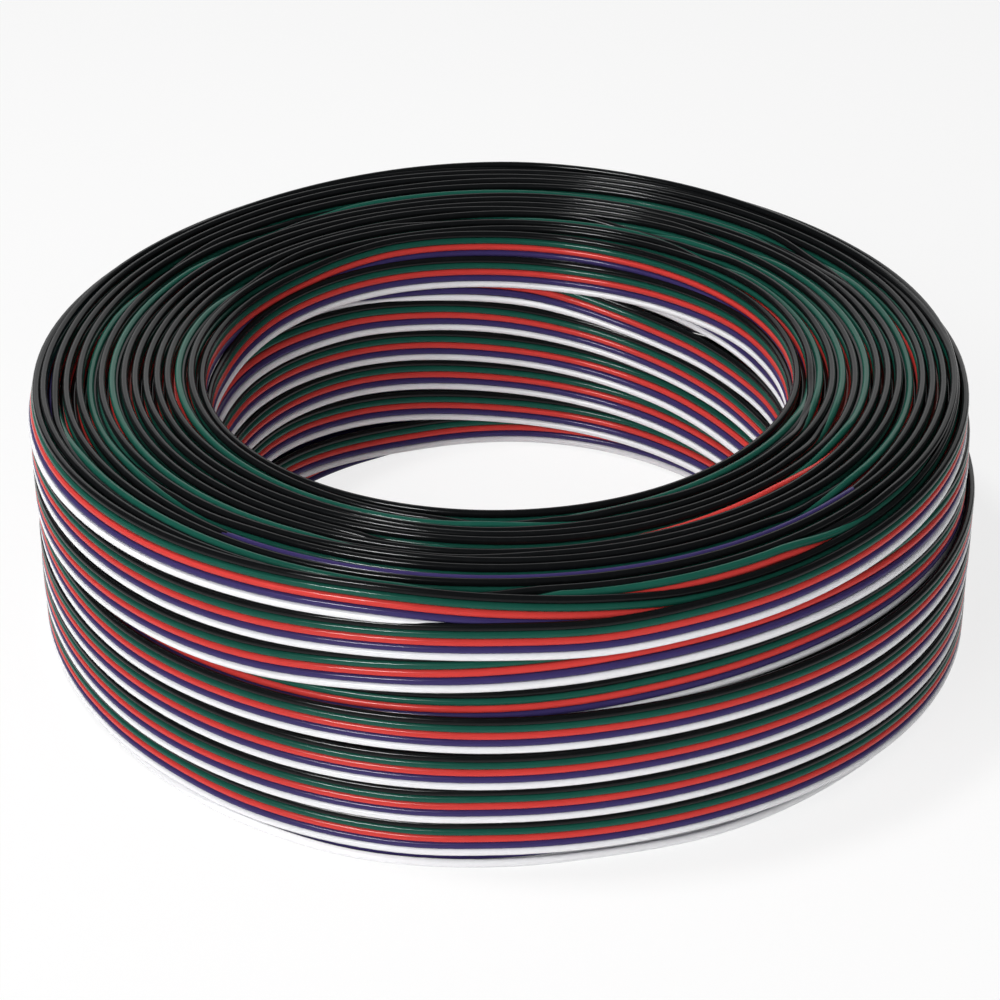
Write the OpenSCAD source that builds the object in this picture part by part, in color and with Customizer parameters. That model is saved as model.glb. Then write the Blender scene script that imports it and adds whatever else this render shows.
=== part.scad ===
// Coil of flat five-core cable for LED strips, wound on a former and laid flat.
// The coil rests on z = 0 and its axis is the z axis. Sizes are in millimetres.
// The ribbon stands on edge, so each row shows its five cores one above the other.
// The turns of a row are drawn as one ring per core: round where the first and
// the last turn show, and ridged on the top and the bottom of the coil.
// The last layer of ribbon ends part of the way up, so the lower rows stand proud.

/* [Cable] */
// Diameter of one insulated core
core_d = 1.8; // [1.6:0.05:1.9]

/* [Winding] */
// Rows of ribbon, one above the other
rows = 8; // [4:1:10]
// Layers of ribbon that show as ridges, from the eye to the outside
layers = 17; // [8:1:20]
// Rows that one more layer covers, counted from the table
lap_rows = 4; // [1:1:9]
// Distance between two ridges
layer_pitch = 2.6; // [2:0.1:3]
// Diameter of the open eye, where the former was
eye_d = 138; // [90:1:180]
// Core spacing at the outer wall, as a share of the core's diameter
press_out = 0.917; // [0.9:0.001:0.98]
// Core spacing at the eye, where the rows ride deeper over each other
press_in = 0.861; // [0.84:0.001:0.89]
// Depth of the flats that the former and the table leave on the cores
flat_depth = 0.08; // [0.05:0.01:0.12]

/* [Hidden] */
NODES = ["black_core", "green_core", "red_core", "blue_core", "white_core"];

// Cores of the ribbon, counted from the bottom
CORES = len(NODES);
WHITE = 0;
BLUE = 1;
RED = 2;
GREEN = 3;
BLACK = 4;

core_r = core_d / 2;
eye_r = eye_d / 2;
// Centres of the first turn and of the last one that reaches the top
first_r = eye_r + core_r - flat_depth;
last_r = first_r + (layers - 1) * layer_pitch;
// Radius that lies outside every turn
clear_r = last_r + layer_pitch + core_d;
// Bond lines in the stack, counted from the table
levels = rows * CORES;
// Sides of a ridge, and of a turn that shows on a wall
ridge_sides = 12;
wall_sides = 48;

// Centre radius of one layer of turns
function ridge_r(layer) = first_r + layer * layer_pitch;

// Outermost layer of a row: the lower rows have one layer more
function wall_layer(row) = row < lap_rows ? layers : layers - 1;

// Share of the core's diameter that is left between bond lines at a radius
function press(r) = press_in + (press_out - press_in) * (r - first_r) / (last_r - first_r);

// Height of a bond line above the table at a radius
function level_z(level, r) = level * core_d * press(r);

// Slice of the coil's section between two bond lines
module slice(from_r, to_r, low, high) {
    polygon([
        [from_r, level_z(low, from_r)],
        [to_r, level_z(low, to_r)],
        [to_r, level_z(high, to_r)],
        [from_r, level_z(high, from_r)]
    ]);
}

// Turns hidden between the first one of a row and the one on its outer wall
module packed_turns(row, low, high) {
    slice(first_r, ridge_r(wall_layer(row)), low, high);
}

// Row of turns with its ends round at the eye and at the outer wall
module middle_row(row, level) {
    packed_turns(row, level - 0.5, level + 1.5);
    for (r = [first_r, ridge_r(wall_layer(row))])
        translate([r, level_z(level + 0.5, r)])
            circle(d = core_d, $fn = wall_sides);
}

// One turn of the lowest or the highest row, finer where it shows on a wall
module ridge(row, layer, z) {
    on_wall = layer == 0 || layer == wall_layer(row);
    translate([ridge_r(layer), z])
        circle(d = core_d, $fn = on_wall ? wall_sides : ridge_sides);
}

// Lowest row: every turn shows from below and rests on a small flat
module bottom_row(row) {
    packed_turns(row, 0.5, 1.5);
    for (layer = [0 : wall_layer(row)])
        ridge(row, layer, core_r - flat_depth);
}

// Highest row: every turn shows from above as a ridge
module top_row(row) {
    packed_turns(row, levels - 1.5, levels - 0.5);
    for (layer = [0 : wall_layer(row)])
        ridge(row, layer, level_z(levels, ridge_r(layer)) - core_r);
}

// Section of one core's turns between the bond lines below and above it
module row_section(row, level) {
    highest = level == levels - 1 ? levels + 1 : level + 1;
    intersection() {
        slice(eye_r, clear_r, level, highest);
        union() {
            if (level == 0) bottom_row(row);
            else if (level == levels - 1) top_row(row);
            else middle_row(row, level);
        }
    }
}

// All the turns of one core: a ring in each row
module core_turns(core) {
    rotate_extrude($fn = 180)
        for (row = [0 : rows - 1])
            row_section(row, row * CORES + core);
}

module black_core() {
    color("#1b1b1d") core_turns(BLACK);
}

module green_core() {
    color("#1d5a48") core_turns(GREEN);
}

module red_core() {
    color("#e04840") core_turns(RED);
}

module blue_core() {
    color("#393070") core_turns(BLUE);
}

module white_core() {
    color("#ececf0") core_turns(WHITE);
}

black_core();
green_core();
red_core();
blue_core();
white_core();
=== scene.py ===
# %% [markdown]
# A coil of flat five-core cable for LED strips
#
# The cable is a ribbon: five insulated wires, bonded side by side in the order white, blue, red,
# green, black. It was wound on edge around a former, row above row and layer over layer, and then
# slipped off. So the walls show rows of five coloured cores, and the top shows the upper edges of
# the layers as ridges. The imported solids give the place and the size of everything. This lesson
# lays the single turns over them, because the way they climb, cross and roll is the look of a coil.

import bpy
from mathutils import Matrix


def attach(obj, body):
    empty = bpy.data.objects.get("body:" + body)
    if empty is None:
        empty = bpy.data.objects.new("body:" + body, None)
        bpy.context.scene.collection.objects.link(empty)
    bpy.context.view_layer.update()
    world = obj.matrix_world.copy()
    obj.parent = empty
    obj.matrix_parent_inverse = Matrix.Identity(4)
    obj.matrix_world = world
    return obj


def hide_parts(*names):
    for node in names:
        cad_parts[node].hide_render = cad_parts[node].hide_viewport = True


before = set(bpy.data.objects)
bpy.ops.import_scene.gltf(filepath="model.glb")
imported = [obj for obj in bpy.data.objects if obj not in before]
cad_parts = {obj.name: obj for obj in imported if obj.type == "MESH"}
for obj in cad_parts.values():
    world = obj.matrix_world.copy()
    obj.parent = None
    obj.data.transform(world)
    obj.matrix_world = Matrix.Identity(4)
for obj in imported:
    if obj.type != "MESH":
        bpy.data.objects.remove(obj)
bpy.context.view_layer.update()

import math
import random

import bpy

# %% [markdown]
# Measures
#
# A winder thinks in cores: the ribbon is five cores tall, so a row is five cores high. Heights in
# this lesson are counted in cores above the table, and radii in millimetres. Angles are in degrees
# around the coil: 0 is the front, 90 the right side, 180 the back and -90 the left side.

# %% Measures of the cable
MM = 0.001
PITCH = 1.79  # mm from one core's centre to the next one
CORE_RADIUS = 0.90  # mm, a little over half the pitch, so bonded cores touch
COLOURS = ("white", "blue", "red", "green", "black")
TOP_CORE = len(COLOURS) - 1
STEPS = 160  # points on one turn
ANGLES = [360.0 * step / STEPS - 180.0 for step in range(STEPS)]
print("steps on a turn:", STEPS, "each", 360 / STEPS, "degrees")

# %% [markdown]
# Curves from a few key values
#
# A real turn isn't a perfect circle. It rises, dips and moves in and out as it rides over its
# neighbours. A few key values around the circle are enough to say that, with a smooth periodic curve
# between them. A Catmull-Rom curve is a good choice here: it goes through every key, and it needs no
# handles. The small unevenness of hand winding is a sum of sines with a fixed seed.


# %% Smooth closed curves
def closed_curve(keys):
    """Value at each angle of a smooth closed curve through (angle, value) keys."""
    if len(keys) == 1:
        return [keys[0][1]] * STEPS
    keys = sorted(((a + 180.0) % 360.0, v) for a, v in keys)
    count = len(keys)
    spot = [
        (keys[i % count][0] + 360.0 * (i // count), keys[i % count][1])
        for i in range(-1, count + 2)
    ]
    slope = {
        i: (spot[i + 1][1] - spot[i - 1][1]) / (spot[i + 1][0] - spot[i - 1][0])
        for i in range(1, len(spot) - 1)
    }
    values = []
    for angle in ANGLES:
        at = angle + 180.0
        if at < spot[1][0]:
            at += 360.0
        i = max(j for j in range(1, len(spot) - 1) if spot[j][0] <= at)
        nxt = i + 1 if i + 1 in slope else 2
        gap = spot[i + 1][0] - spot[i][0]
        t = (at - spot[i][0]) / gap
        values.append(
            (2 * t**3 - 3 * t**2 + 1) * spot[i][1]
            + (t**3 - 2 * t**2 + t) * gap * slope[i]
            + (3 * t**2 - 2 * t**3) * spot[i + 1][1]
            + (t**3 - t**2) * gap * slope[nxt]
        )
    return values


def stepped_curve(keys):
    """Value at each angle between (angle, value) keys, eased so that it never overshoots."""
    keys = sorted(((a + 180.0) % 360.0, v) for a, v in keys)
    values = []
    for angle in ANGLES:
        at = angle + 180.0
        before = [k for k in keys if k[0] <= at] or [(keys[-1][0] - 360.0, keys[-1][1])]
        after = [k for k in keys if k[0] > at] or [(keys[0][0] + 360.0, keys[0][1])]
        t = (at - before[-1][0]) / (after[0][0] - before[-1][0])
        ease = t * t * (3.0 - 2.0 * t)
        values.append(before[-1][1] + (after[0][1] - before[-1][1]) * ease)
    return values


def hand_wobble(rng, size, waves):
    """Small closed unevenness of a turn: a few waves with seeded sizes and starts."""
    parts = [(rng.uniform(0.4, 1.0) / wave**0.5, wave, rng.uniform(0, 360)) for wave in waves]
    total = sum(part[0] for part in parts)
    return [
        size * sum(w * math.sin(math.radians(n * a + start)) for w, n, start in parts) / total
        for a in ANGLES
    ]


winder = random.Random(5)
trial = closed_curve([(0, 0), (180, 10)])
print("curve through 0 and 10 runs from", min(trial), "to", max(trial))

# %% [markdown]
# The store of turns
#
# Every turn becomes one closed line of points. The lines are kept by colour, because each colour is
# one piece of the finished part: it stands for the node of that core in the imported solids.

# %% Collect closed lines by colour
turns = {colour: [] for colour in COLOURS}


def lay_turn(colour, radii, heights):
    """Keeps one closed line: radii in mm and heights in cores at each angle."""
    line = []
    for angle, radius, height in zip(ANGLES, radii, heights):
        turn = math.radians(angle)
        across = radius * MM * math.sin(turn)
        back = -radius * MM * math.cos(turn)
        line.append((across, back, height * PITCH * MM))
    turns[colour].append(line)


def lay_ribbon(radii, heights, lean, cores=range(len(COLOURS))):
    """Stands a ribbon on edge: heights are of its white core, lean is cores inwards per core."""
    for core in cores:
        lay_turn(
            COLOURS[core],
            [r - tilt * core * PITCH for r, tilt in zip(radii, lean)],
            [h + core for h in heights],
        )


# %% [markdown]
# The outer wall
#
# Four rows of the last layer stand around the lower half of the wall. Above them, the layer before
# shows: its rows climb by about a row between the left and the right side, and slip behind each
# other where they cross. Each row gets keys for its height, for how far it lies behind the wall, and
# for how much it leans inwards.

# %% Rows of the outer wall
UPPER_WALL = closed_curve(
    [
        (-135, 108.6), (-90, 110.9), (-45, 111.2), (0, 111.2), (45, 111.1), (72, 110.6), (90, 109.7),
        (112, 107.6), (135, 106.9), (160, 108.7), (180, 110.6),
    ]
)
LOWER_WALL = closed_curve(
    [
        (-135, 110.6), (-90, 111.0), (-65, 111.0), (-42, 112.0), (0, 113.4), (45, 114.2), (90, 113.3),
        (135, 111.4), (180, 111.6),
    ]
)
LOWER_WAVE = closed_curve([(-90, 0.0), (-35, -0.3), (18, 0.7), (60, 0.2), (110, 0.0), (180, 0.0)])

upper_rows = {
    "first": dict(
        height=[
            (-120, 31.6), (-70, 31.8), (-45, 32.4), (-25, 33.35), (-13, 33.65), (0, 32.9), (11, 31.9),
            (22, 30.9), (45, 30.9), (65, 31.6), (90, 32.6), (135, 32.6), (180, 32.6),
        ],
        behind=[(-130, 0.0), (-25, 0.0), (20, 1.1), (100, 1.1), (165, 0.6)],
        lean=[(-90, 0.22), (0, 0.12), (90, 0.05), (180, 0.12)],
    ),
    "second": dict(
        height=[
            (-120, 26.9), (-70, 26.85), (-43, 27.2), (-29, 27.9), (-14, 29.0), (0, 29.6), (11, 29.5),
            (22, 29.9), (35, 30.1), (53, 30.55), (75, 31.05), (90, 31.4), (110, 31.5), (180, 29.4),
        ],
        behind=[(0, 0.0)],
        lean=[(0, 0.02)],
    ),
    "third": dict(
        height=[
            (-120, 21.2), (-70, 21.15), (-43, 21.8), (-29, 22.6), (-16, 24.0), (-6, 24.8), (6, 25.75),
            (18, 26.5), (35, 26.7), (53, 26.3), (75, 25.9), (110, 25.9), (180, 24.0),
        ],
        behind=[(-60, 0.0), (40, 0.0), (70, -0.5), (95, -0.7), (120, -0.4), (170, 0.0)],
        lean=[(-60, 0.0), (-15, 0.1), (15, 0.3), (45, 0.3), (75, 0.05), (180, 0.05)],
    ),
    "fourth": dict(
        height=[
            (-120, 18.3), (-60, 18.3), (-35, 18.75), (-18, 19.2), (0, 20.2), (18, 21.65), (35, 22.0),
            (53, 21.5), (75, 20.6), (110, 20.6), (180, 19.8),
        ],
        behind=[
            (-120, 1.05), (-50, 1.05), (0, 0.2), (12, 0.0), (45, 0.0), (75, -0.6), (110, -0.6),
            (170, 0.7),
        ],
        lean=[(0, 0.02)],
    ),
}
for name, row in upper_rows.items():
    behind = closed_curve(row["behind"])
    radii = [wall - depth * PITCH for wall, depth in zip(UPPER_WALL, behind)]
    heights = closed_curve(row["height"])
    lay_ribbon(radii, heights, closed_curve(row["lean"]))
    if name == "fourth":
        # the upper cores of the next row down show behind the lower wall
        lay_ribbon(radii, [h - len(COLOURS) for h in heights], [0.0] * STEPS, cores=(2, 3, 4))

FIRST_ROW = 1.9  # cores from the table to the lowest row's white core
ROW_RISE = 4.9  # cores from one lower row to the next
ROW_WOBBLE = 0.25  # mm in and out
# how far each lower row strays from its even place, from the table up
strays = [
    [
        (-75, 0.0), (-43, 0.3), (-29, -0.25), (-11, -0.45), (0, 0.0), (25, 0.3), (45, 0.0), (75, -0.8),
        (180, 0.0),
    ],
    [
        (-75, 0.0), (-32, -0.3), (-11, -0.45), (0, 0.0), (29, 0.3), (45, -0.1), (75, -1.0),
        (110, -0.9), (180, 0.0),
    ],
    [
        (-75, -0.25), (-43, 0.0), (-15, -0.2), (0, 0.0), (20, 0.4), (50, 0.3), (75, 0.15), (180, 0.0),
    ],
    [
        (-75, -0.1), (-50, -0.25), (-30, 0.1), (0, 0.35), (15, 0.65), (45, 0.75), (75, 0.8),
        (110, 0.6), (180, 0.2),
    ],
]
for row, stray in enumerate(strays):
    shift = hand_wobble(winder, ROW_WOBBLE, (1, 2, 3))
    lay_ribbon(
        [wall + move for wall, move in zip(LOWER_WALL, shift)],
        [
            FIRST_ROW + ROW_RISE * row + wave + move
            for wave, move in zip(LOWER_WAVE, closed_curve(stray))
        ],
        [0.0] * STEPS,
    )
print("rows on the outer wall:", len(upper_rows) + len(strays))

# %% [markdown]
# The wall of the eye
#
# Inside, the rows run down from the left to the right, so they look like a wide thread. A ribbon
# that is hidden behind another one simply lies one core further out there. The keys are angles from
# the back, because that is the part of the eye that one sees.

# %% Rows of the eye
EYE_WALL = 70.0  # mm, centre of a core that shows in the eye
LEVEL = [(0, 0.0)]


def from_back(keys):
    """Turns keys that are counted from the back, right side positive, into angles of the coil."""
    return [(180.0 - angle, value) for angle, value in keys]


SLIP = [(-120, 0.0), (0, 0.0), (30, -0.16), (70, -0.2), (150, 0.0)]
eye_rows = [
    dict(
        height=[
            (-90, 30.4), (-60, 30.3), (-46, 30.45), (-33, 31.0), (-22, 31.3), (0, 30.95), (22, 30.65),
            (46, 30.55), (70, 30.6), (180, 30.8),
        ],
        behind=[(0, 0.6), (-90, 0.6), (90, 0.5), (140, -0.3), (-140, 0.3)],
    ),
    dict(
        height=[
            (-80, 26.3), (-64, 27.2), (-53, 27.7), (-29, 27.85), (0, 27.15), (18, 26.85), (41, 27.1),
            (65, 27.6), (140, 27.0),
        ],
    ),
    dict(
        height=[
            (-60, 28.2), (-20, 27.9), (15, 27.0), (35, 26.2), (44, 25.9), (53, 25.7), (63, 25.4),
            (72, 25.2), (90, 25.3), (150, 26.6),
        ],
        behind=[(-60, 1.0), (15, 1.0), (35, 0.7), (50, 0.35), (75, 0.3), (120, 0.6), (200, 1.0)],
    ),
    dict(
        height=[
            (-90, 26.6), (-40, 27.1), (-27, 25.9), (-6, 24.9), (6, 24.1), (18, 22.8), (29, 21.6),
            (41, 20.8), (65, 20.3), (150, 23.2),
        ],
        behind=[(-90, 1.0), (-40, 1.0), (-10, 0.2), (12, 0.0), (90, 0.0), (200, 0.8)],
        lean=[(-90, 0.0), (-35, -0.1), (-10, -0.28), (8, -0.28), (25, 0.0), (120, 0.0)],
    ),
    dict(
        height=[
            (-70, 22.9), (-35, 22.1), (-18, 20.95), (0, 19.55), (18, 17.9), (35, 16.4), (53, 15.35),
            (70, 15.0), (180, 19.6),
        ],
        lean=[(-120, -0.2), (-60, -0.3), (-35, -0.1), (-10, 0.0), (120, 0.0)],
    ),
    dict(
        height=[(-70, 18.2), (-35, 17.3), (0, 14.45), (18, 13.0), (35, 11.7), (65, 10.2), (180, 14.5)],
        lean=SLIP,
    ),
    dict(
        height=[(-65, 12.9), (-35, 12.4), (0, 9.55), (35, 7.4), (60, 6.6), (180, 9.8)],
        lean=SLIP,
    ),
    dict(
        height=[(-60, 8.3), (-35, 7.25), (0, 4.4), (35, 3.1), (60, 3.0), (180, 5.0)],
        lean=SLIP,
    ),
    dict(
        height=[
            (-100, 3.0), (-60, 3.2), (-50, 2.8), (-23, 1.0), (-8, 0.66), (6, 0.6), (60, 0.6), (120, 0.6),
            (180, 1.0),
        ],
        behind=[(-90, -0.4), (-35, -0.6), (10, 0.9), (90, 1.0), (200, 0.4)],
    ),
]
for row in eye_rows:
    behind = closed_curve(from_back(row.get("behind", LEVEL)))
    radii = [EYE_WALL + depth * PITCH for depth in behind]
    heights = closed_curve(from_back(row["height"]))
    lean = closed_curve(from_back(row.get("lean", LEVEL)))
    lay_ribbon(radii, heights, lean)

# the ribbon under the last row shows two cores at the left
under = stepped_curve(from_back([(-150, 1.5), (-100, 0.1), (-30, 0.1), (-8, 2.0), (120, 2.0)]))
for colour, height in (("blue", 0.7), ("red", 1.7)):
    lay_turn(colour, [EYE_WALL + depth * PITCH for depth in under], [height] * STEPS)
# a hidden turn closes the slit beside the third row
SLIT_BEHIND = 2.4  # mm
slit_keys = [(-60, 27.0), (0, 26.6), (35, 25.6), (60, 25.0), (90, 25.0), (150, 26.0)]
lay_turn("black", [EYE_WALL + SLIT_BEHIND] * STEPS, closed_curve(from_back(slit_keys)))
print("rows in the eye:", len(eye_rows))

# %% [markdown]
# The ridges on top
#
# From above one sees the upper edge of each layer. Most show their black core. Where a ribbon has
# rolled over to one side, its green or red core is the highest one, and the black core lies beside
# it. Bending the ribbon's section like a walking stick gives just that: the cores slide over
# the bend as the roll grows.

# %% The rolled section of a ribbon
HALF = 0.5  # half a core
BEND_DROP = 0.866  # cores that the next core hangs below the crown, once it has slid past it
BEND_EASE = 2.7  # how late in the slide it drops


def stick(along, fold):
    """Place of a core on the stick, in cores sideways and up, by its distance past the crown.

    Cores past the crown hang down beside it, and the others stand straight below it. fold is 0 for
    a straight ribbon and 1 for a bent one.
    """
    if along <= 0.0:
        return 0.0, along
    across = HALF * math.sin(math.pi * min(along, HALF))
    hanging = BEND_DROP * min(along, 1.0) ** BEND_EASE + max(along - 1.0, 0.0)
    return fold * across, -(fold * hanging + (1.0 - fold) * along)


print("black core beside a green crown:", [round(v, 2) for v in stick(1.0, 1.0)])

# %% Ridges from the eye to the outer rim
FIRST_RIDGE = 71.0  # mm, where ridge 0 would be: the eye's first row takes its place
RIDGE_PITCH = 2.62  # mm from one ridge to the next
RIDGES = 14
INNER_TOP = closed_curve([(0, 35.3), (90, 35.5), (180, 35.2), (-90, 35.4)])  # black core at the eye
TOP_RISE = closed_curve([(-90, 0.3), (0, 2.1), (60, 1.8), (90, 1.3), (135, 0.6), (180, 1.2)])
GREEN_UP, RED_UP = 0.88, 1.9  # cores that have slid over the crown
RIM_UP = 1.1  # the same for the outermost ridge

rolls = {
    1: [(-14, 0), (16, GREEN_UP), (64, GREEN_UP), (90, 0)],
    2: [
        (-140, 0), (-108, GREEN_UP), (-4, GREEN_UP), (24, 0), (56, 0), (78, GREEN_UP), (124, GREEN_UP),
        (148, 0),
    ],
    3: [(130, 0), (156, GREEN_UP), (172, GREEN_UP), (-155, 0)],
    4: [(52, 0), (76, GREEN_UP), (142, GREEN_UP), (166, 0)],
    6: [(-22, 0), (2, RED_UP), (42, RED_UP), (72, GREEN_UP), (122, GREEN_UP), (150, 0)],
    8: [(-150, 0), (-120, GREEN_UP), (-30, GREEN_UP), (8, 0)],
    9: [(112, 0), (140, GREEN_UP), (-160, GREEN_UP), (-130, 0)],
    10: [
        (-132, 0), (-102, GREEN_UP), (-62, GREEN_UP), (-30, 0), (34, 0), (54, GREEN_UP), (112, GREEN_UP),
        (136, 0),
    ],
    13: [(-88, 0), (-60, GREEN_UP), (-12, GREEN_UP), (6, 0)],
    14: [(-8, 0), (10, RIM_UP), (30, RIM_UP), (54, 0)],
}
# ridge, angle, half width, outwards in mm, upwards in cores
nudges = [
    (1, -20, 45, -0.6, -0.5),
    (2, 10, 25, -1.0, 0.0),
    (1, 40, 30, -0.8, 0.2),
    (6, 12, 44, 0.2, -0.5),
    (10, -82, 40, 0.0, -0.4),
    (10, 84, 50, 0.0, -0.5),
    (11, 5, 75, 0.0, -2.2),
    (12, 20, 90, 0.0, -0.3),
    (13, 15, 80, 0.0, -0.7),
    (14, 20, 100, -0.6, -1.15),
    (13, -75, 25, 0.2, 0.2),
    (2, 150, 40, 0.0, 0.35),
]


def nudged(ridge, which):
    """Sum of a ridge's nudges at each angle, each one a smooth bump."""
    total = [0.0] * STEPS
    for nudge in nudges:
        if nudge[0] != ridge:
            continue
        for step, angle in enumerate(ANGLES):
            off = abs((angle - nudge[1] + 180.0) % 360.0 - 180.0) / nudge[2]
            if off < 1.0:
                total[step] += nudge[3 + which] * (0.5 + 0.5 * math.cos(math.pi * off))
    return total


SINK = 0.6  # cores that a ribbon sinks while one core slides over the crown
OUT_WOBBLE = 0.42  # mm
UP_WOBBLE = 0.35  # cores
TILT_WOBBLE = 0.12  # cores inwards per core


def lay_ridge(ridge):
    """Lays the upper four cores of one layer, rolled where its keys say so."""
    side = 1.0 if ridge % 2 else -1.0
    out = hand_wobble(winder, OUT_WOBBLE, (1, 2, 3, 5))
    up = hand_wobble(winder, UP_WOBBLE, (1, 2, 4, 7))
    tilt = hand_wobble(winder, TILT_WOBBLE, (1, 3, 4))
    moved_out = nudged(ridge, 0)
    moved_up = nudged(ridge, 1)
    roll = stepped_curve(rolls[ridge]) if ridge in rolls else [0.0] * STEPS
    for core in range(1, len(COLOURS)):
        radii, heights = [], []
        for step in range(STEPS):
            fold = min(2.0 * roll[step], 1.0)
            across, above = stick(core - TOP_CORE + roll[step], fold)
            sunk = SINK * abs(math.sin(math.pi * roll[step]))
            top = INNER_TOP[step] + TOP_RISE[step] * ridge / (RIDGES + 1)
            middle = FIRST_RIDGE + RIDGE_PITCH * ridge + out[step] + moved_out[step]
            radii.append(middle + (side * across + tilt[step] * above) * PITCH)
            heights.append(top + up[step] + moved_up[step] + above - sunk)
        lay_turn(COLOURS[core], radii, heights)


for ridge in range(1, RIDGES + 1):
    lay_ridge(ridge)
print("ridges on top:", RIDGES)

# %% [markdown]
# Between two ridges one looks a little way down into the gap. A black turn in each gap closes the
# coil, so no light comes up from inside, and its black is painted shade: it stands for the dark
# depth of the gap.

# %% Turns in the gaps
GAP_DEPTH = 2.4  # cores below the crowns
RIM_DEPTH = 1.5  # cores more at the outer rim
for gap in range(RIDGES + 1):
    middle = FIRST_RIDGE + RIDGE_PITCH * (gap + 0.5)
    share = (gap + 0.5) / (RIDGES + 1)
    depth = GAP_DEPTH + (RIM_DEPTH if gap == RIDGES else 0.0)
    pushed = nudged(gap, 1)
    heights = [
        low + rise * share + push - depth
        for low, rise, push in zip(INNER_TOP, TOP_RISE, pushed)
    ]
    # a black turn as painted shade at the bottom of the gap
    lay_turn("black", [middle] * STEPS, heights)
print("turns in the gaps:", RIDGES + 1)

# %% [markdown]
# Here and there a coloured core of a lower turn comes up between two ridges, as a thin dark line.

# %% Glimpses of colour
DEEP, HIGH = 1.8, 0.75  # cores below the crowns
FADE = 30  # degrees over which a turn comes up
SUNK = 2.0  # cores that it lies deeper elsewhere
# place among the gaps counted from the eye, colour, depth, ranges of angles; a half is on a ridge
glimpses = [
    (1, "red", DEEP, [(-118, -88), (84, 108)]),
    (2, "red", DEEP, [(-100, -72)]),
    (4, "red", DEEP, [(60, 84)]),
    (6, "red", DEEP, [(-150, -86)]),
    (6.1, "green", DEEP, [(165, -165)]),
    (7, "red", DEEP, [(92, 128)]),
    (9, "blue", DEEP, [(-116, -60)]),
    (10.5, "blue", HIGH, [(-34, 46)]),
    (12, "red", DEEP, [(62, 122)]),
    (12.1, "green", DEEP, [(150, -160)]),
    (13, "blue", DEEP, [(-112, -84)]),
]
for gap, colour, depth, ranges in glimpses:
    middle = FIRST_RIDGE + RIDGE_PITCH * (gap + 0.5)
    share = (gap + 0.5) / (RIDGES + 1)
    keys = []
    for first, last in ranges:
        keys += [(first - FADE, SUNK), (first, 0.0), (last, 0.0), (last + FADE, SUNK)]
    heights = [
        low + rise * share - depth - drop
        for low, rise, drop in zip(INNER_TOP, TOP_RISE, stepped_curve(keys))
    ]
    lay_turn(colour, [middle] * STEPS, heights)
print("glimpses of colour:", len(glimpses))

# %% [markdown]
# The underside
#
# The coil lies on the white edges of its layers. Nobody sees much of them, but each layer gets its
# lowest core, lying on the table under the weight above.

# %% Lowest cores of the layers
LOW_FIRST = 73.8  # mm
LOW_TURNS = 16
ON_TABLE = 0.5  # cores from the table to the centre of a core that lies on it
BESIDE_FIRST = 1.6  # mm
FOOT = closed_curve(
    [
        (-135, 109.6), (-90, 109.4), (-55, 110.0), (-38, 111.9), (-25, 113.6), (-15, 114.4), (0, 113.2),
        (12, 111.9), (25, 112.4), (45, 111.9), (66, 112.8), (90, 112.8), (135, 111.0), (180, 111.0),
    ]
)
# the outermost blue turn comes down to the foot at the left of the front, and shows as a thin line
LINE_BEHIND = stepped_curve([(-60, 1.35), (-40, 2.3), (-5, 2.3), (8, 1.35)])  # mm behind the foot
LINE_HEIGHT = stepped_curve([(-60, 1.5), (-40, 0.67), (-5, 0.67), (8, 1.5)])


def low_radii(layer):
    """Radii of a low turn: even steps from the eye to the foot of the wall."""
    share = layer / (LOW_TURNS - 1)
    return [LOW_FIRST + (foot - LOW_FIRST) * share for foot in FOOT]


for layer in range(LOW_TURNS):
    lay_turn("white", low_radii(layer), [ON_TABLE] * STEPS)
for gap in range(LOW_TURNS - 2):
    lay_turn("blue", low_radii(gap + 0.5), [ON_TABLE + 1] * STEPS)
lay_turn("blue", [foot - behind for foot, behind in zip(FOOT, LINE_BEHIND)], LINE_HEIGHT)
for core in (1, 2):
    lay_turn(COLOURS[core], [LOW_FIRST - BESIDE_FIRST] * STEPS, [ON_TABLE + core] * STEPS)
print({colour: len(lines) for colour, lines in turns.items()})

# %% [markdown]
# From lines to insulated cores
#
# A core is a round profile swept along its line. Geometry Nodes do this for all the turns of a
# colour at once: lines become curves, a circle is swept along them, and the result gets its
# material. The curve's normals are set to Z up, so a closed turn doesn't twist where its ends meet.

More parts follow.
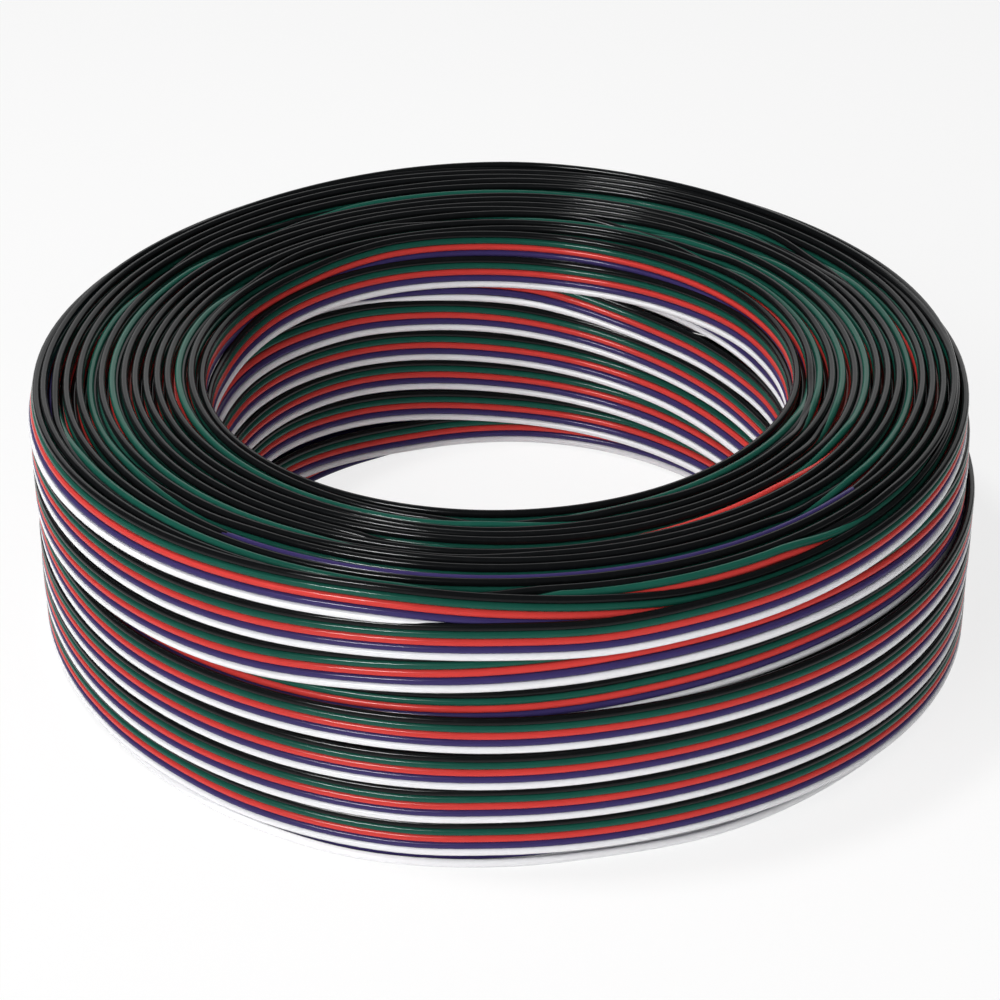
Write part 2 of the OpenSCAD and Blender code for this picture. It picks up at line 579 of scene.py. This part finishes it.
# %% The sweeping node tree
def core_sweeper():
    """Builds the Geometry Nodes tree that sweeps a core along each line."""
    tree = bpy.data.node_groups.new("core sweeper", "GeometryNodeTree")
    face = tree.interface
    face.new_socket("Geometry", in_out="INPUT", socket_type="NodeSocketGeometry")
    face.new_socket("Core radius", in_out="INPUT", socket_type="NodeSocketFloat")
    face.new_socket("Sides", in_out="INPUT", socket_type="NodeSocketInt")
    face.new_socket("Insulation", in_out="INPUT", socket_type="NodeSocketMaterial")
    face.new_socket("Geometry", in_out="OUTPUT", socket_type="NodeSocketGeometry")
    nodes, link = tree.nodes, tree.links.new
    given = nodes.new("NodeGroupInput")
    result = nodes.new("NodeGroupOutput")
    curve = nodes.new("GeometryNodeMeshToCurve")
    normal = nodes.new("GeometryNodeSetCurveNormal")
    normal.mode = "Z_UP"
    profile = nodes.new("GeometryNodeCurvePrimitiveCircle")
    sweep = nodes.new("GeometryNodeCurveToMesh")
    smooth = nodes.new("GeometryNodeSetShadeSmooth")
    real = nodes.new("GeometryNodeRealizeInstances")
    finish = nodes.new("GeometryNodeSetMaterial")
    link(given.outputs["Geometry"], curve.inputs["Mesh"])
    link(curve.outputs["Curve"], normal.inputs["Curve"])
    link(normal.outputs["Curve"], sweep.inputs["Curve"])
    link(given.outputs["Sides"], profile.inputs["Resolution"])
    link(given.outputs["Core radius"], profile.inputs["Radius"])
    link(profile.outputs["Curve"], sweep.inputs["Profile Curve"])
    link(sweep.outputs["Mesh"], smooth.inputs["Geometry"])
    link(smooth.outputs["Geometry"], real.inputs["Geometry"])
    link(real.outputs["Geometry"], finish.inputs["Geometry"])
    link(given.outputs["Insulation"], finish.inputs["Material"])
    link(finish.outputs["Geometry"], result.inputs["Geometry"])
    return tree


SWEEPER = core_sweeper()
CORE_SIDES = 12
print("sweeper inputs:", [item.name for item in SWEEPER.interface.items_tree if item.in_out == "INPUT"])

# %% [markdown]
# The insulation
#
# The cores are PVC with a soft gloss. Up close, extrusion leaves fine lines along the wire, and
# handling leaves dull patches and a little dust. All five colours share that, so it is one node
# group. It works in rings around the coil's axis: the noise is fine across the wire and long along
# it, without a seam, because the angle goes in as a sine and a cosine.


# %% Shared skin of the insulation
# noises: waves across the wire per metre, waves along a turn, detail
LINES = (5200.0, 5.0, 2.0)
PATCHES = (420.0, 22.0, 3.0)
KINKS = (260.0, 42.0, 1.0)
LINE_RELIEF, KINK_RELIEF = 0.02, 0.5
DULL_FROM, DULL_SHARE = 0.35, 0.14
DUST_SCALE, DUST_DETAIL = 620.0, 4.0
DUST_FROM, DUST_EDGE = 0.58, 6.0
DUST_DULLS = 0.3
DUST_COLOUR = (0.42, 0.41, 0.40, 1.0)


def cable_skin():
    """Shader group: fine lines along the wire, dull patches and dust, from Object coordinates."""
    group = bpy.data.node_groups.new("cable skin", "ShaderNodeTree")
    face = group.interface
    for name, low in (("Colour", None), ("Shade", 0.1), ("Gloss floor", 0.3), ("Dust", 0.1)):
        kind = "NodeSocketColor" if low is None else "NodeSocketFloat"
        socket = face.new_socket(name, in_out="INPUT", socket_type=kind)
        if low is not None:
            socket.default_value = low
    for name in ("Colour", "Roughness", "Height"):
        kind = "NodeSocketColor" if name == "Colour" else "NodeSocketFloat"
        face.new_socket(name, in_out="OUTPUT", socket_type=kind)
    nodes, link = group.nodes, group.links.new
    given = nodes.new("NodeGroupInput")
    result = nodes.new("NodeGroupOutput")
    place = nodes.new("ShaderNodeTexCoord")
    apart = nodes.new("ShaderNodeSeparateXYZ")
    link(place.outputs["Object"], apart.inputs[0])

    def maths(kind, first, second, clamp=False):
        """One step of arithmetic on sockets or numbers."""
        node = nodes.new("ShaderNodeMath")
        node.operation = kind
        node.use_clamp = clamp
        for socket, value in zip(node.inputs, (first, second)):
            if isinstance(value, (int, float)):
                socket.default_value = value
            else:
                link(value, socket)
        return node.outputs[0]

    flat = nodes.new("ShaderNodeCombineXYZ")
    link(apart.outputs["X"], flat.inputs["X"])
    link(apart.outputs["Y"], flat.inputs["Y"])
    length = nodes.new("ShaderNodeVectorMath")
    length.operation = "LENGTH"
    link(flat.outputs[0], length.inputs[0])
    radius = length.outputs["Value"]
    cosine = maths("DIVIDE", apart.outputs["X"], radius)
    sine = maths("DIVIDE", apart.outputs["Y"], radius)

    def long_noise(across, along, detail):
        """Noise that runs along the wire and closes around the coil."""
        spot = nodes.new("ShaderNodeCombineXYZ")
        link(maths("MULTIPLY", radius, across), spot.inputs["X"])
        link(maths("MULTIPLY", apart.outputs["Z"], across), spot.inputs["Y"])
        link(maths("MULTIPLY", cosine, along), spot.inputs["Z"])
        noise = nodes.new("ShaderNodeTexNoise")
        noise.noise_dimensions = "4D"
        noise.inputs["Scale"].default_value = 1.0
        noise.inputs["Detail"].default_value = detail
        link(spot.outputs[0], noise.inputs["Vector"])
        link(maths("MULTIPLY", sine, along), noise.inputs["W"])
        return noise.outputs["Fac"]

    lines = long_noise(*LINES)
    patches = long_noise(*PATCHES)
    kinks = long_noise(*KINKS)
    dust = nodes.new("ShaderNodeTexNoise")
    dust.inputs["Scale"].default_value = DUST_SCALE
    dust.inputs["Detail"].default_value = DUST_DETAIL
    link(place.outputs["Object"], dust.inputs["Vector"])

    shade = maths("MULTIPLY", maths("SUBTRACT", patches, 0.5), given.outputs["Shade"])
    tone = maths("ADD", shade, 1.0)
    tinted = nodes.new("ShaderNodeVectorMath")
    tinted.operation = "SCALE"
    link(given.outputs["Colour"], tinted.inputs[0])
    link(tone, tinted.inputs["Scale"])
    past = maths("SUBTRACT", dust.outputs["Fac"], DUST_FROM)
    specks = maths("MULTIPLY", past, DUST_EDGE, clamp=True)
    veil = maths("MULTIPLY", specks, given.outputs["Dust"])
    dusty = nodes.new("ShaderNodeMix")
    dusty.data_type = "RGBA"
    link(veil, dusty.inputs["Factor"])
    link(tinted.outputs[0], dusty.inputs["A"])
    dusty.inputs["B"].default_value = DUST_COLOUR
    link(dusty.outputs["Result"], result.inputs["Colour"])

    dull = maths("MULTIPLY", maths("SUBTRACT", patches, DULL_FROM), DULL_SHARE)
    rough = maths("ADD", given.outputs["Gloss floor"], dull)
    dusty_rough = maths("ADD", rough, maths("MULTIPLY", veil, DUST_DULLS), clamp=True)
    link(dusty_rough, result.inputs["Roughness"])
    fine = maths("MULTIPLY", lines, LINE_RELIEF)
    relief = maths("ADD", fine, maths("MULTIPLY", kinks, KINK_RELIEF))
    link(relief, result.inputs["Height"])
    return group


SKIN = cable_skin()
print("skin outputs:", [item.name for item in SKIN.interface.items_tree if item.in_out == "OUTPUT"])


# %% Five colours of insulation
BUMP_STRENGTH = 0.15
BUMP_DISTANCE = 0.2 * MM
PVC_IOR = 1.5
PVC_SPECULAR = 0.13  # a dull surface mirrors less than clear plastic does


def insulation(name, colour, shade, gloss_floor, dust):
    """PVC in one colour with the shared skin."""
    material = bpy.data.materials.new(name)
    material.use_nodes = True
    nodes, link = material.node_tree.nodes, material.node_tree.links.new
    shader = nodes["Principled BSDF"]
    skin = nodes.new("ShaderNodeGroup")
    skin.node_tree = SKIN
    skin.inputs["Colour"].default_value = (*colour, 1.0)
    skin.inputs["Shade"].default_value = shade
    skin.inputs["Gloss floor"].default_value = gloss_floor
    skin.inputs["Dust"].default_value = dust
    bump = nodes.new("ShaderNodeBump")
    bump.inputs["Strength"].default_value = BUMP_STRENGTH
    bump.inputs["Distance"].default_value = BUMP_DISTANCE
    link(skin.outputs["Height"], bump.inputs["Height"])
    link(skin.outputs["Colour"], shader.inputs["Base Color"])
    link(skin.outputs["Roughness"], shader.inputs["Roughness"])
    link(bump.outputs["Normal"], shader.inputs["Normal"])
    shader.inputs["IOR"].default_value = PVC_IOR
    shader.inputs["Specular IOR Level"].default_value = PVC_SPECULAR
    return material


# name, colour, shade, gloss floor, dust
finishes = {
    "white": insulation("white pvc", (0.93, 0.93, 0.95), 0.06, 0.22, 0.03),
    "blue": insulation("blue pvc", (0.045, 0.032, 0.130), 0.25, 0.15, 0.012),
    "red": insulation("red pvc", (0.67, 0.052, 0.045), 0.18, 0.15, 0.02),
    "green": insulation("green pvc", (0.010, 0.085, 0.060), 0.25, 0.15, 0.010),
    "black": insulation("black pvc", (0.005, 0.0055, 0.006), 0.25, 0.14, 0.006),
}
print("finishes:", list(finishes))


# %% Sweep the cores
def sweep_turns(colour):
    """Sweeps all the turns of one colour and returns them as one plain mesh object."""
    points, edges = [], []
    for line in turns[colour]:
        first = len(points)
        points += line
        edges += [(first + i, first + (i + 1) % len(line)) for i in range(len(line))]
    lines = bpy.data.meshes.new(colour + " lines")
    lines.from_pydata(points, edges, [])
    guide = bpy.data.objects.new(colour + "_guide", lines)
    bpy.context.scene.collection.objects.link(guide)
    nodes = guide.modifiers.new("cores", "NODES")
    nodes.node_group = SWEEPER
    values = {"Core radius": CORE_RADIUS * MM, "Sides": CORE_SIDES, "Insulation": finishes[colour]}
    for item in SWEEPER.interface.items_tree:
        if item.in_out == "INPUT" and item.name in values:
            nodes[item.identifier] = values[item.name]
    evaluated = guide.evaluated_get(bpy.context.evaluated_depsgraph_get())
    mesh = bpy.data.meshes.new_from_object(evaluated)
    guide.modifiers.clear()
    bpy.data.objects.remove(guide)
    piece = bpy.data.objects.new(colour + "_turns", mesh)
    bpy.context.scene.collection.objects.link(piece)
    return piece


pieces = {}
for colour in COLOURS:
    pieces[colour] = sweep_turns(colour)
    mesh = pieces[colour].data
    mesh.calc_loop_triangles()
    print(colour, "turns:", len(turns[colour]), "triangles:", len(mesh.loop_triangles))

# %% Put each colour under the root and hide its imported core
for colour, piece in pieces.items():
    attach(piece, "root")
    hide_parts(colour + "_core")
print("pieces:", [piece.name for piece in pieces.values()])

# %% [markdown]
# Floor, light and camera
#
# The coil lies on a pale floor in soft light: one lamp overhead and a wide one on each side of the
# front. They light the cores but aren't mirrored in them. Two lamps are: a wide one behind draws the
# broad grey sheen on the ridges, and a small one in front draws the thin bright lines. The floor
# shows white to the camera and still takes a soft shadow.

# %% Floor
def looking_rays(nodes, link):
    """1 for rays that show the background: straight, mirrored or through glass."""
    ray = nodes.new("ShaderNodeLightPath")
    seen = None
    for kind in ("Is Camera Ray", "Is Glossy Ray", "Is Transmission Ray"):
        if seen is None:
            seen = ray.outputs[kind]
            continue
        either = nodes.new("ShaderNodeMath")
        either.operation = "MAXIMUM"
        link(seen, either.inputs[0])
        link(ray.outputs[kind], either.inputs[1])
        seen = either.outputs[0]
    return seen


HALF_FLOOR = 3.0  # m
FLOOR_GLOW = 1.04  # brightness of the background
GLOW_SHARE = 0.76  # the rest takes light and shadow
floor_mesh = bpy.data.meshes.new("floor")
floor_mesh.from_pydata(
    [
        (-HALF_FLOOR, -HALF_FLOOR, 0),
        (HALF_FLOOR, -HALF_FLOOR, 0),
        (HALF_FLOOR, HALF_FLOOR, 0),
        (-HALF_FLOOR, HALF_FLOOR, 0),
    ],
    [],
    [(0, 1, 2, 3)],
)
floor = bpy.data.objects.new("floor", floor_mesh)
bpy.context.scene.collection.objects.link(floor)
paper = bpy.data.materials.new("pale floor")
paper.use_nodes = True
nodes, link = paper.node_tree.nodes, paper.node_tree.links.new
matte = nodes["Principled BSDF"]
matte.inputs["Base Color"].default_value = (0.9, 0.9, 0.9, 1.0)
matte.inputs["Roughness"].default_value = 0.9
glow = nodes.new("ShaderNodeEmission")
glow.inputs["Color"].default_value = (1.0, 1.0, 1.0, 1.0)
glow.inputs["Strength"].default_value = FLOOR_GLOW
share = nodes.new("ShaderNodeMath")
share.operation = "MULTIPLY"
share.inputs[1].default_value = GLOW_SHARE
link(looking_rays(nodes, link), share.inputs[0])
blend = nodes.new("ShaderNodeMixShader")
link(share.outputs[0], blend.inputs["Fac"])
link(matte.outputs["BSDF"], blend.inputs[1])
link(glow.outputs["Emission"], blend.inputs[2])
link(blend.outputs["Shader"], nodes["Material Output"].inputs["Surface"])
floor_mesh.materials.append(paper)
print("floor is", 2 * HALF_FLOOR, "m wide")

# %% World
ROOM_LIGHT = 0.1
world = bpy.data.worlds.new("studio")
bpy.context.scene.world = world
world.use_nodes = True
room = world.node_tree.nodes["Background"]
room.inputs["Color"].default_value = (1.0, 1.0, 1.0, 1.0)
room.inputs["Strength"].default_value = ROOM_LIGHT
print("light from all sides:", ROOM_LIGHT)


# %% Lamps
AIM_HEIGHT = 0.03  # m


def lamp(name, place, size, power, lights=True, shines=True):
    """Area lamp that faces the middle of the coil. lights and shines say what it is seen in."""
    data = bpy.data.lights.new(name, "AREA")
    data.shape = "RECTANGLE"
    data.size, data.size_y = size
    data.energy = power
    made = bpy.data.objects.new(name, data)
    made.location = place
    aim = -made.location.copy()
    aim.z += AIM_HEIGHT
    made.rotation_mode = "QUATERNION"
    made.rotation_quaternion = aim.to_track_quat("-Z", "Y")
    made.visible_diffuse = lights
    made.visible_glossy = shines
    bpy.context.scene.collection.objects.link(made)


lamp("overhead", (-0.29, 0.0, 0.92), (0.14, 0.14), 4.0, shines=False)
lamp("back", (0.0, 1.1, 0.6), (2.2, 0.7), 7.2, lights=False)
lamp("front left", (-0.8, -1.0, 0.8), (0.9, 0.9), 13.0, shines=False)
lamp("front right", (0.9, -1.0, 0.5), (0.9, 0.9), 4.3, shines=False)
lamp("sparkle", (-0.72, -0.95, 0.95), (0.42, 0.09), 26.0, lights=False)

# %% Camera
PICTURE = 1000  # pixels
FOCAL_LENGTH = 2748.0  # pixels
SHIFT_UP = -32.0  # pixels
SENSOR = 36.0  # mm
TARGET_HEIGHT = 33.2 * MM
DISTANCE = 672.0 * MM
ELEVATION = math.radians(30.2)
camera_data = bpy.data.cameras.new("camera")
camera_data.sensor_width = SENSOR
camera_data.lens = FOCAL_LENGTH / PICTURE * SENSOR
camera_data.shift_y = SHIFT_UP / PICTURE
camera = bpy.data.objects.new("camera", camera_data)
camera_height = DISTANCE * math.sin(ELEVATION) + TARGET_HEIGHT
camera.location = (0.0, -DISTANCE * math.cos(ELEVATION), camera_height)
camera.rotation_euler = (math.pi / 2 - ELEVATION, 0.0, 0.0)
bpy.context.scene.collection.objects.link(camera)
bpy.context.scene.camera = camera
bpy.context.scene.view_settings.view_transform = "Standard"
print("lens", round(camera_data.lens, 1), "mm")
